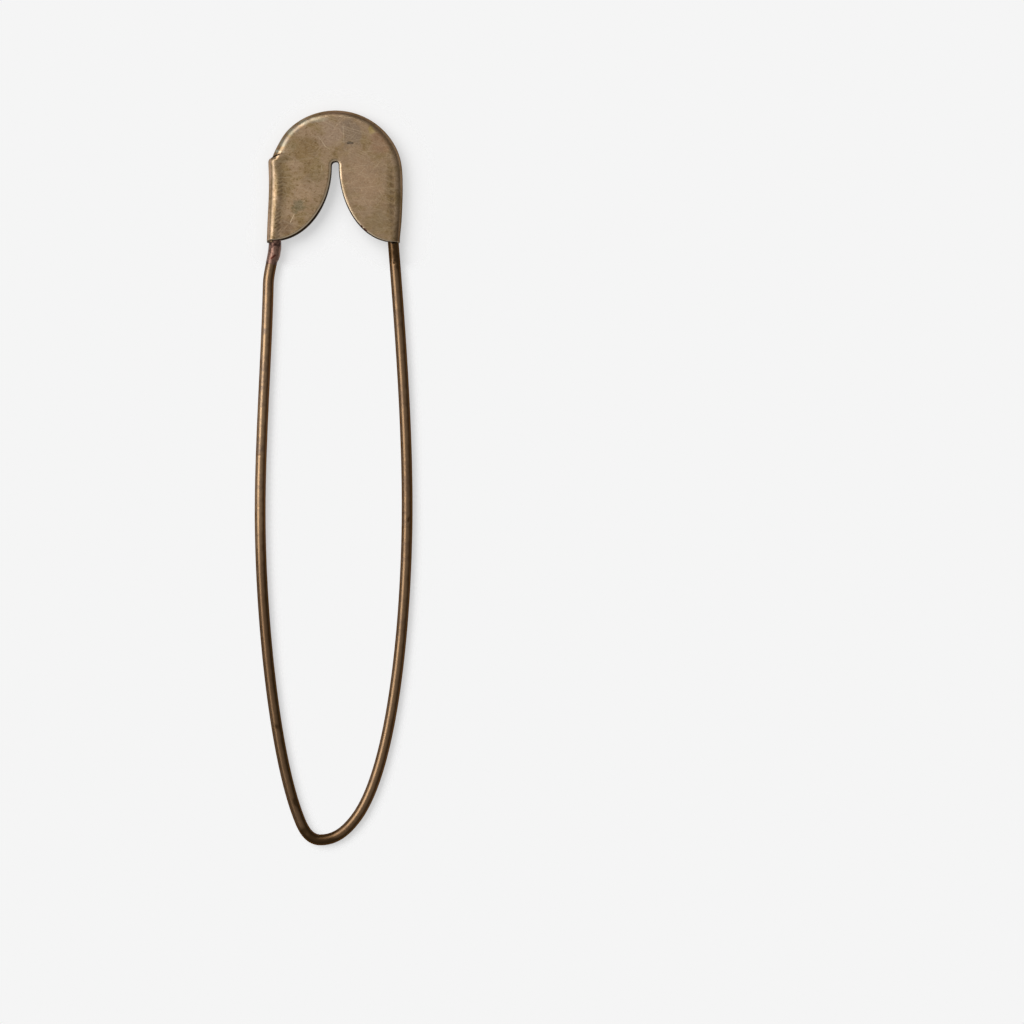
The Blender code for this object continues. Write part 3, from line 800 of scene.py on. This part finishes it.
def on_vectors(tree, operation, first, second=(0.0, 0.0, 0.0)):
    """One sum on two vectors."""
    kind = "Value" if operation in ("DOT_PRODUCT", "LENGTH") else "Vector"
    return node(tree, "VectorMath", {0: first, 1: second}, operation=operation).outputs[kind]


# A stain: a ragged spot round a place, 1 in its middle and 0 past its reach.
STAIN_CORE = 0.45  # the share of its reach where it starts to fade
stain, given, result = new_group("stain", ["Vector", "Middle", "Reach"],
                                 ["Ragged", "Grain Scale"])
offset = on_vectors(stain, "SUBTRACT", given["Vector"], given["Middle"])
distance = on_vectors(stain, "LENGTH", on_vectors(stain, "DIVIDE", offset, given["Reach"]))
edge = calculate(stain, "SUBTRACT", noise(stain, given["Vector"], given["Grain Scale"]), 0.5)
distance = times(stain, edge, given["Ragged"], distance)
feed(stain, result, {"Mask": map_range(stain, distance, 1.0, STAIN_CORE)})

# A scratch: 1 along a straight line between two places, 0 past its half width.
SCRATCH_CORE = 0.2  # the share of its half width where it starts to fade
scratch, given, result = new_group("scratch", ["Vector", "From", "To"], ["Half Width"])
line = on_vectors(scratch, "SUBTRACT", given["To"], given["From"])
offset = on_vectors(scratch, "SUBTRACT", given["Vector"], given["From"])
covered = calculate(scratch, "DIVIDE", on_vectors(scratch, "DOT_PRODUCT", offset, line),
                    on_vectors(scratch, "DOT_PRODUCT", line, line))
share = node(scratch, "Clamp", {"Value": covered}).outputs[0]
nearest = on_vectors(scratch, "MULTIPLY", line, share)
gap = on_vectors(scratch, "LENGTH", on_vectors(scratch, "SUBTRACT", offset, nearest))
gap = calculate(scratch, "DIVIDE", gap, given["Half Width"])
feed(scratch, result, {"Mask": map_range(scratch, gap, 1.0, SCRATCH_CORE)})

CAP_FRESH = (0.368, 0.252, 0.154)
CAP_AGED = (0.242, 0.165, 0.080)
CAP_GRIME_AND_SHADE = (0.098, 0.056, 0.030)
CAP_RUBBED_AND_HIGHLIGHT = (0.64, 0.51, 0.355)
CAP_EDGE_SHADE = (0.04, 0.024, 0.014)
CAP_EDGE_TINT = (0.55, 0.46, 0.38)
CAP_ROUGHNESS = (0.34, 0.46)  # fresh and tarnished
FACE_Z = (MIDDLE_HEIGHT + CAP_HALF) / MM
# Stains on the cap's front: middle and reach in millimetres, colour and strength.
STAINS = (
    ((-4.6, 53.9), (3.4, 2.9), (0.252, 0.166, 0.077), 0.80),
    ((-7.0, 54.2), (1.6, 1.2), (0.250, 0.183, 0.091), 0.60),
    ((-8.0, 48.0), (1.4, 4.0), (0.235, 0.160, 0.075), 0.60),
    ((-4.5, 49.3), (2.0, 2.0), (0.255, 0.172, 0.085), 0.55),
    ((-2.6, 49.8), (1.5, 2.6), (0.262, 0.185, 0.085), 0.65),
    ((-4.4, 46.5), (2.0, 2.0), (0.365, 0.248, 0.152), 0.70),
    ((-0.4, 56.4), (2.5, 3.4), (0.329, 0.232, 0.159), 0.90),
    ((3.1, 56.1), (2.3, 2.7), (0.246, 0.180, 0.127), 0.75),
    ((2.75, 54.65), (0.62, 0.30), (0.076, 0.059, 0.044), 0.90),
    ((6.2, 56.7), (0.60, 1.1), (0.415, 0.299, 0.104), 0.80),
    ((7.6, 54.6), (2.2, 2.2), (0.305, 0.177, 0.104), 0.60),
    ((5.0, 48.5), (3.4, 5.2), (0.365, 0.245, 0.152), 0.85),
    ((7.6, 41.6), (2.2, 3.0), (0.255, 0.182, 0.100), 0.65),
    ((-5.7, 44.2), (1.4, 1.3), (0.159, 0.127, 0.068), 0.90),
    ((-7.4, 41.0), (2.2, 1.5), (0.195, 0.122, 0.068), 0.65),
    ((9.3, 46.0), (0.9, 8.0), (0.195, 0.128, 0.056), 0.65),
    ((0.6, 59.25), (5.5, 0.9), (0.190, 0.130, 0.078), 0.65),
)
# Scratches on the front in millimetres: from, to, half width and how light they are.
SCRATCHES = (
    ((-6.40, 42.9), (-7.05, 41.6), 0.10, 0.8),
    ((-7.05, 41.6), (-6.50, 41.4), 0.08, 0.7),
    ((-7.85, 47.3), (-7.58, 46.4), 0.09, 0.8),
    ((-7.58, 46.4), (-8.05, 45.3), 0.09, 0.8),
    ((-1.90, 50.9), (-1.86, 50.0), 0.08, 0.6),
    ((-2.50, 55.7), (-1.90, 54.9), 0.09, 0.5),
    ((-1.90, 54.9), (-1.35, 54.1), 0.09, 0.6),
    ((-1.35, 54.1), (-0.55, 53.5), 0.09, 0.5),
    ((1.55, 57.9), (1.75, 54.6), 0.06, 0.45),
    ((1.70, 57.3), (5.10, 56.3), 0.05, 0.45),
    ((1.80, 56.9), (4.30, 56.1), 0.04, 0.40),
    ((2.30, 55.9), (4.80, 55.2), 0.04, 0.35),
    ((4.20, 44.6), (7.60, 43.7), 0.04, 0.30),
    ((3.20, 46.9), (7.20, 46.5), 0.03, 0.25),
)


def in_metres(plan, height=FACE_Z):
    """A place in plan and its height, given in millimetres. Else it is on the cap's front."""
    return (plan[0] * MM, plan[1] * MM, height * MM)


def face_spot(tree, place, middle, reach, ragged, grain_scale, depth=1.0):
    """A stain's mask on the cap's front, its middle, reach and depth in millimetres."""
    return place_group(tree, stain, {
        "Vector": place, "Middle": in_metres(middle), "Reach": in_metres(reach, depth),
        "Ragged": ragged, "Grain Scale": grain_scale})


def face_line(tree, place, start, end, half_width, height=FACE_Z):
    """A scratch's mask between two places at a height, all in millimetres."""
    return place_group(tree, scratch, {
        "Vector": place, "From": in_metres(start, height), "To": in_metres(end, height),
        "Half Width": half_width * MM})


def tinted(tree, colour, tint):
    """A colour times another."""
    return mix_colours(tree, 1.0, colour, tint, kind="MULTIPLY")


def laid_on(tree, colour, mask, new_colour, strength=1.0):
    """A colour with another laid on it where the mask is, at a strength."""
    return mix_colours(tree, times(tree, mask, strength), colour, new_colour)


cap_finish, tree, shader = new_material("sheet_brass")
place = node(tree, "TexCoord").outputs["Object"]
worn, colour = tarnished(tree, CAP_FRESH, CAP_AGED, blotches=300.0, mottles=950.0)
STAIN_GRAIN = 1500.0  # a wider stain has a coarser edge
for middle, reach, stain_colour, strength in STAINS:
    spot = face_spot(tree, place, middle, reach, ragged=1.6,
                     grain_scale=STAIN_GRAIN / max(reach[0], 1.0))
    colour = laid_on(tree, colour, spot, stain_colour, strength)

# Speckle: fine darker and lighter grains all over.
DARK_SPECK = (0.90, 0.88, 0.85)
LIGHT_SPECK = (1.08, 1.08, 1.09)
SPECK_BAND = (0.36, 0.64)
grain = noise(tree, place, 4200.0, roughness=0.7)
colour = mix_colours(tree, map_range(tree, grain, *SPECK_BAND),
                     tinted(tree, colour, DARK_SPECK), tinted(tree, colour, LIGHT_SPECK))

# Small pits, where the tarnish has bitten in, most of them on the left half.
PIT_TINT = (0.66, 0.60, 0.50)
PIT_BAND = (0.53, 0.66)
PIT_PLACES = (2.0 * MM, -4.0 * MM)  # they thicken from here to there
PIT_SHARES = (0.35, 0.90)
pit_noise = noise(tree, place, 1900.0, roughness=0.6)
face_place = node(tree, "SeparateXYZ", {"Vector": place}).outputs
pit_share = map_range(tree, face_place["X"], *PIT_PLACES, *PIT_SHARES)
pits = map_range(tree, pit_noise, *PIT_BAND)
colour = laid_on(tree, colour, pits, tinted(tree, colour, PIT_TINT), pit_share)

# Hairlines from rubbing, in several ways across the face: their turn in degrees, size in
# millimetres and amount.
HAIRLINES = (
    (-24, (3.2, 0.16, 0.6), 0.45),
    (-58, (2.2, 0.14, 0.6), 0.42),
    (48, (2.6, 0.15, 0.6), 0.42),
    (6, (4.5, 0.16, 0.6), 0.44),
)
HAIRLINE_SHARE = 0.20
hairlines = 0.0
for turn, size, amount in HAIRLINES:
    lines = place_group(tree, streaks, {
        "Vector": place, "Stretch": [length * MM for length in size],
        "Turn": (0.0, 0.0, math.radians(turn)), "Amount": amount})
    hairlines = calculate(tree, "MAXIMUM", hairlines, lines)
colour = laid_on(tree, colour, hairlines, CAP_RUBBED_AND_HIGHLIGHT, HAIRLINE_SHARE)

SCRATCH_SHARE = 0.8
cuts = 0.0
for start, end, half_width, strength in SCRATCHES:
    line = face_line(tree, place, start, end, half_width)
    cuts = calculate(tree, "MAXIMUM", cuts, times(tree, line, strength))
colour = laid_on(tree, colour, cuts, CAP_RUBBED_AND_HIGHLIGHT, SCRATCH_SHARE)

# Plier marks: short ridges beside the roll, and a row of dimples along the right rim. Each row
# has its middle, reach and spacing in millimetres, and its lean in degrees.
PLIER_ROWS = (
    ((-8.95, 41.9), (0.62, 3.6), 0.50, 35),
    ((-8.55, 47.0), (0.55, 2.8), 0.62, 20),
    ((9.65, 45.2), (0.50, 7.2), 1.08, -20),
)
WAVES_PER_SCALE = 0.314  # a wave texture's scale is this over the spacing of its bands
RIDGE_SHARE = 0.4
ridges = 0.0
for middle, reach, spacing, lean in PLIER_ROWS:
    row = face_spot(tree, place, middle, reach, ragged=0.8, grain_scale=900.0)
    turned = node(tree, "Mapping", {"Vector": place, "Rotation": (0, 0, math.radians(-lean))})
    bands = node(tree, "TexWave", {
        "Vector": turned.outputs["Vector"], "Scale": WAVES_PER_SCALE / (spacing * MM),
        "Distortion": 1.2, "Detail": 2.0, "Detail Scale": 1.5,
    }, wave_type="BANDS", bands_direction="Y", wave_profile="SIN").outputs["Fac"]
    ridges = times(tree, row, bands, ridges)
colour = laid_on(tree, colour, ridges, CAP_GRIME_AND_SHADE, RIDGE_SHARE)

# The rim's sides are darkened: partly tarnish, partly painted shade, the shade strongest on the
# right, away from the lamp.
SIDE_RAGGED = 0.25
SIDE_BAND = (1.15, 0.85)
side_value = times(tree, noise(tree, place, 700.0), SIDE_RAGGED, attribute(tree, "flatness"))
side_mask = map_range(tree, side_value, *SIDE_BAND)
colour = laid_on(tree, colour, side_mask, CAP_GRIME_AND_SHADE, attribute(tree, "rim_tarnish_and_shade"))
# Places on the rim and along the roll, given as the stains are. Most are burnish from handling. The
# light bands along the roll's crest and its left side, and the light line inside the top of the
# rim, are painted highlight.
BURNISH_AND_HIGHLIGHTS = (
    ((-9.25, 53.35), (0.46, 0.40), (0.38, 0.39, 0.31), 0.75),
    ((-8.65, 53.15), (0.28, 0.22), (0.46, 0.37, 0.25), 0.80),
    ((-8.10, 53.10), (0.24, 0.20), (0.50, 0.40, 0.27), 0.80),
    ((-8.35, 54.70), (0.95, 0.95), (0.28, 0.258, 0.195), 0.75),
    ((-7.00, 56.45), (0.95, 0.95), (0.28, 0.258, 0.195), 0.70),
    ((-4.90, 58.00), (1.30, 0.80), (0.28, 0.258, 0.195), 0.70),
    ((-7.75, 55.20), (0.80, 0.80), (0.25, 0.200, 0.148), 0.75),
    ((-6.10, 56.90), (0.90, 0.80), (0.25, 0.200, 0.148), 0.75),
    ((-3.50, 58.30), (1.30, 0.70), (0.26, 0.205, 0.150), 0.65),
    ((-2.50, 58.45), (1.90, 0.55), (0.40, 0.345, 0.240), 0.45),
    ((1.20, 59.55), (5.00, 0.50), (0.30, 0.185, 0.118), 0.55),
    ((-9.75, 49.50), (0.26, 4.20), (0.43, 0.315, 0.215), 0.70),
    ((-9.95, 42.50), (0.26, 4.60), (0.43, 0.315, 0.215), 0.45),
    ((-10.42, 49.50), (0.42, 4.60), (0.56, 0.385, 0.275), 0.75),
    ((-10.60, 42.50), (0.42, 5.00), (0.54, 0.370, 0.265), 0.65),
)
RIM_DEPTH = 1.3  # millimetres
for middle, reach, burnish_and_highlight, strength in BURNISH_AND_HIGHLIGHTS:
    spot = face_spot(tree, place, middle, reach, ragged=0.9, grain_scale=1700.0, depth=RIM_DEPTH)
    colour = laid_on(tree, colour, spot, burnish_and_highlight, strength)
# The cut edge is worn bright, and its light band is also a painted highlight. Its very end is
# painted shade. Both bands are wider low on the lobes.
LOW_ON_LOBES = (46.5 * MM, 42.0 * MM)
LOW_EDGE_MORE = 0.22
RUBBED_HIGHLIGHT_BAND = (0.25, 0.55)
RUBBED_HIGHLIGHT_SHARE = 0.9
EDGE_SHADE_BAND = (0.76, 0.92)
low_share = map_range(tree, face_place["Y"], *LOW_ON_LOBES, 0.0, LOW_EDGE_MORE)
edge_value = calculate(tree, "ADD", attribute(tree, "cut_near"), low_share)
rubbed_highlight_mask = map_range(tree, edge_value, *RUBBED_HIGHLIGHT_BAND)
colour = laid_on(tree, colour, rubbed_highlight_mask, CAP_RUBBED_AND_HIGHLIGHT, RUBBED_HIGHLIGHT_SHARE)
colour = laid_on(tree, colour, map_range(tree, edge_value, *EDGE_SHADE_BAND), CAP_EDGE_SHADE)
# Two small knocks in the right lobe's edge, gone dark: from, to and half width.
EDGE_KNOCKS = (
    ((5.08, 40.60), (5.40, 40.30), 0.24),
    ((4.58, 41.10), (4.70, 40.98), 0.19),
)
KNOCK_COLOUR = (0.09, 0.028, 0.018)
KNOCK_Z = FACE_Z - 0.1
for start, end, half_width in EDGE_KNOCKS:
    knock = face_line(tree, place, start, end, half_width, KNOCK_Z)
    colour = laid_on(tree, colour, knock, KNOCK_COLOUR)
# How high each mark stands, or how deep where it is below 0.
RELIEF = ((hairlines, -0.25), (cuts, -0.8), (ridges, -1.6), (grain, 0.35), (worn, -0.35))
height = 0.0
for mark, amount in RELIEF:
    height = times(tree, mark, amount, height)
feed(tree, shader.inputs, {
    "Base Color": colour,
    "Roughness": map_range(tree, worn, 0.0, 1.0, *CAP_ROUGHNESS, smooth=False),
    "Specular Tint": CAP_EDGE_TINT,
    "Normal": bumped(tree, height, strength=0.6, distance=0.02 * MM),
})

# Inside the fold the brass is dark with tarnish. On the cut's own face, the same dark colour is
# painted shade.
INSIDE_FRESH = (0.13, 0.085, 0.048)
INSIDE_AGED = (0.045, 0.028, 0.015)
inner_finish, tree, shader = new_material("sheet_inside")
_, colour = tarnished(tree, INSIDE_FRESH, INSIDE_AGED, blotches=500.0, mottles=1900.0)
feed(tree, shader.inputs, {"Base Color": colour})

cap = new_piece("folded_cap", sheet, sheet_faces, cap_finish)
cap.data.materials.append(inner_finish)
for place_in_row, name in enumerate(("cut_near", "flatness", "rim_tarnish_and_shade"), start=3):
    keep_values(cap, name, whole_sheet[..., place_in_row])
wall = cap.modifiers.new("wall", "SOLIDIFY")
wall.thickness = SHEET
wall.offset = -1
wall.material_offset = 1
wall.material_offset_rim = 1
worn_edge = cap.modifiers.new("worn_edge", "BEVEL")
worn_edge.width = EDGE_WEAR
worn_edge.segments = 2
worn_edge.limit_method = "ANGLE"
worn_edge.angle_limit = CAP_SHARP_EDGE
worn_edge.harden_normals = True
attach(cap, "fixed_side")
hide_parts("head_cap")


# Brazing
# A little brazing metal that was run into the roll's mouth to fix the arm. It fills the gap round
# the wire and has set as a reddish lump on the arm's inner side.
BRAZE_TOP = MOUTH_Y + 0.75 * MM
BRAZE_BOTTOM = MOUTH_Y - 3.95 * MM
LUMP_LENGTH = 3.2 * MM
BRAZE_NECK_RADIUS = 1.01 * MM
BRAZE_SKIN = 0.012 * MM  # how thin it is where it ends
BRAZE_SWELL = 0.20 * MM
SIDE_SWELL = 0.35  # the share of the swelling that its sides have
SWELL_DROP = 1.35  # above 1, it is fullest below its middle
SWELL_BLUNT = 0.9  # below 1, it has blunter ends
SWELL_NARROW = 1.2  # above 1, it keeps closer to the inner side
FILM_FALL = 1.6
BRAZE_LUMPS = 0.03 * MM
LUMP_SEED = 21
LUMP_WAVES = 6
LUMP_LENGTHS = (0.7 * MM, 2.5 * MM)
TOE_SINK = 0.03 * MM  # its end sinks below the wire's own surface
TOE_SHARE = 0.07
NECK_ROWS = 8
LUMP_ROWS = 54
BRAZE_COLOUR = (0.240, 0.138, 0.104)
BRAZE_DARK = (0.050, 0.024, 0.019)
BRAZE_ROUGHNESS = 0.4

braze_y = np.concatenate([np.linspace(BRAZE_TOP, MOUTH_Y, NECK_ROWS)[:-1],
                          np.linspace(MOUTH_Y, BRAZE_BOTTOM, LUMP_ROWS)])
arm_x, arm_y, arm_z = wire_path[:bend_row][::-1].T
braze_path = np.column_stack([np.interp(braze_y, arm_y, arm_x), braze_y,
                              np.interp(braze_y, arm_y, arm_z)])
down = np.clip((MOUTH_Y - braze_y) / (MOUTH_Y - BRAZE_BOTTOM), 0, 1)[:, None]
down_lump = np.clip((MOUTH_Y - braze_y) / LUMP_LENGTH, 0, 1)[:, None]
# Its radius is the wire's + a film that thins out downwards + a swelling on the inner side, a
# sine over its length, + small lumps there. Its path runs down the pin, so an angle of 0, the
# path's left, is the inner side.
inner = np.clip(SIDE_SWELL + (1 - SIDE_SWELL) * np.cos(ring_angles), 0, None)[None]
film = (BRAZE_NECK_RADIUS - WIRE_RADIUS) * (1 - down)**FILM_FALL
bulge = np.sin(math.pi * down_lump**SWELL_DROP)**SWELL_BLUNT * inner**SWELL_NARROW
lumps = waves(braze_y, LUMP_SEED, LUMP_WAVES, *LUMP_LENGTHS)[:, None]
lumps = lumps * inner * np.sin(math.pi * down)
sink = TOE_SINK * smooth_step((down - 1 + TOE_SHARE) / TOE_SHARE)
braze_radius = (WIRE_RADIUS + BRAZE_SKIN + film + BRAZE_SWELL * bulge + BRAZE_LUMPS * lumps
                - sink)
braze_outwards = outward_ways(braze_path, ring_angles)
braze_points = braze_path[:, None] + braze_radius[..., None] * braze_outwards

# A dark red seam, where two drops of the metal met: from, to, half width and height in
# millimetres.
SEAM = ((-9.50, 36.30), (-10.15, 35.80), 0.24, 2.3)
SEAM_COLOUR = (0.100, 0.028, 0.018)
braze_finish, tree, shader = new_material("brazing_metal")
place = node(tree, "TexCoord").outputs["Object"]
worn, colour = tarnished(tree, BRAZE_COLOUR, BRAZE_DARK, blotches=700.0, mottles=2600.0)
seam = face_line(tree, place, *SEAM)
feed(tree, shader.inputs, {
    "Base Color": laid_on(tree, colour, seam, SEAM_COLOUR),
    "Roughness": BRAZE_ROUGHNESS,
    "Normal": bumped(tree, worn, strength=0.5, distance=0.03 * MM),
})

braze = new_tube("braze_lump", braze_points, braze_finish, sharp=60)
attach(braze, "fixed_side")
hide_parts("braze_joint")


# Board
# A smooth matt white board that the pin lies on, and only stage. It is solid where the pin's
# shadow falls, and past that fades out into a backdrop of the same white, so that the arm is seen
# when it swings down behind it. It has no underside, so the pin can be looked at from below.
BOARD_REACH = 2.0
BOARD_DROP = 0.02 * MM
BOARD_COLOUR = (0.93, 0.93, 0.93)
BOARD_ROUGHNESS = 0.9
BOARD_GLOSS = 0.1
BOARD_OWN_WHITE = 0.46  # the share of its white that is its own
SHADOW_WAY = (0.9 * MM, -0.5 * MM)
CAP_SHADOW = 2.6 * MM
SHADOW_FADE = 2.2 * MM

board_paint, tree, shader = new_material("board_paint", metallic=0.0)
feed(tree, shader.inputs, {"Base Color": BOARD_COLOUR, "Roughness": BOARD_ROUGHNESS,
                           "Specular IOR Level": BOARD_GLOSS})
ray = node(tree, "LightPath").outputs
looked_at = calculate(tree, "MAXIMUM", ray["Is Camera Ray"], ray["Is Transmission Ray"])
seen = calculate(tree, "MAXIMUM", looked_at, ray["Is Glossy Ray"])
own_share = times(tree, seen, BOARD_OWN_WHITE)
own_white = node(tree, "Emission").outputs["Emission"]
painted = node(tree, "MixShader", {0: own_share, 1: shader.outputs["BSDF"], 2: own_white})
from_below = node(tree, "NewGeometry").outputs["Backfacing"]
solid_above = calculate(tree, "SUBTRACT", attribute(tree, "solid"), from_below)
clear = node(tree, "BsdfTransparent").outputs["BSDF"]
faded = node(tree, "MixShader", {0: solid_above, 1: clear, 2: painted.outputs[0]})
feed(tree, tree.nodes["Material Output"].inputs, {"Surface": faded.outputs[0]})

# Squares of half a millimetre, 40 mm across and 132 mm up, and one wide border round them.
FINE_SQUARES = ((20, 81), (66, 265))
lines = [np.concatenate([[-BOARD_REACH], np.linspace(-half, half, count) * MM, [BOARD_REACH]])
         for half, count in FINE_SQUARES]
board_x, board_y = np.meshgrid(*lines)
board_points = np.stack([board_x, board_y, np.full_like(board_x, -BOARD_DROP)], axis=-1)
wire_places = wire_path[::4, :2]
cap_places = sheet[::12, ::10, :2].reshape(-1, 2)
shading = np.concatenate([wire_places, cap_places]) + np.array(SHADOW_WAY)
shadow_reach = np.repeat([0.0, CAP_SHADOW], [len(wire_places), len(cap_places)])
# Solid up to a reach from each place that shades it, then falling to 0 in an S curve.
distance = np.hypot(board_x[..., None] - shading[:, 0], board_y[..., None] - shading[:, 1])
solid_share = 1 - smooth_step((distance - shadow_reach).min(axis=-1) / SHADOW_FADE)
board = new_piece("board", board_points,
                  grid_faces(*board_x.shape).reshape(-1, 4).tolist(), board_paint)
keep_values(board, "solid", solid_share)
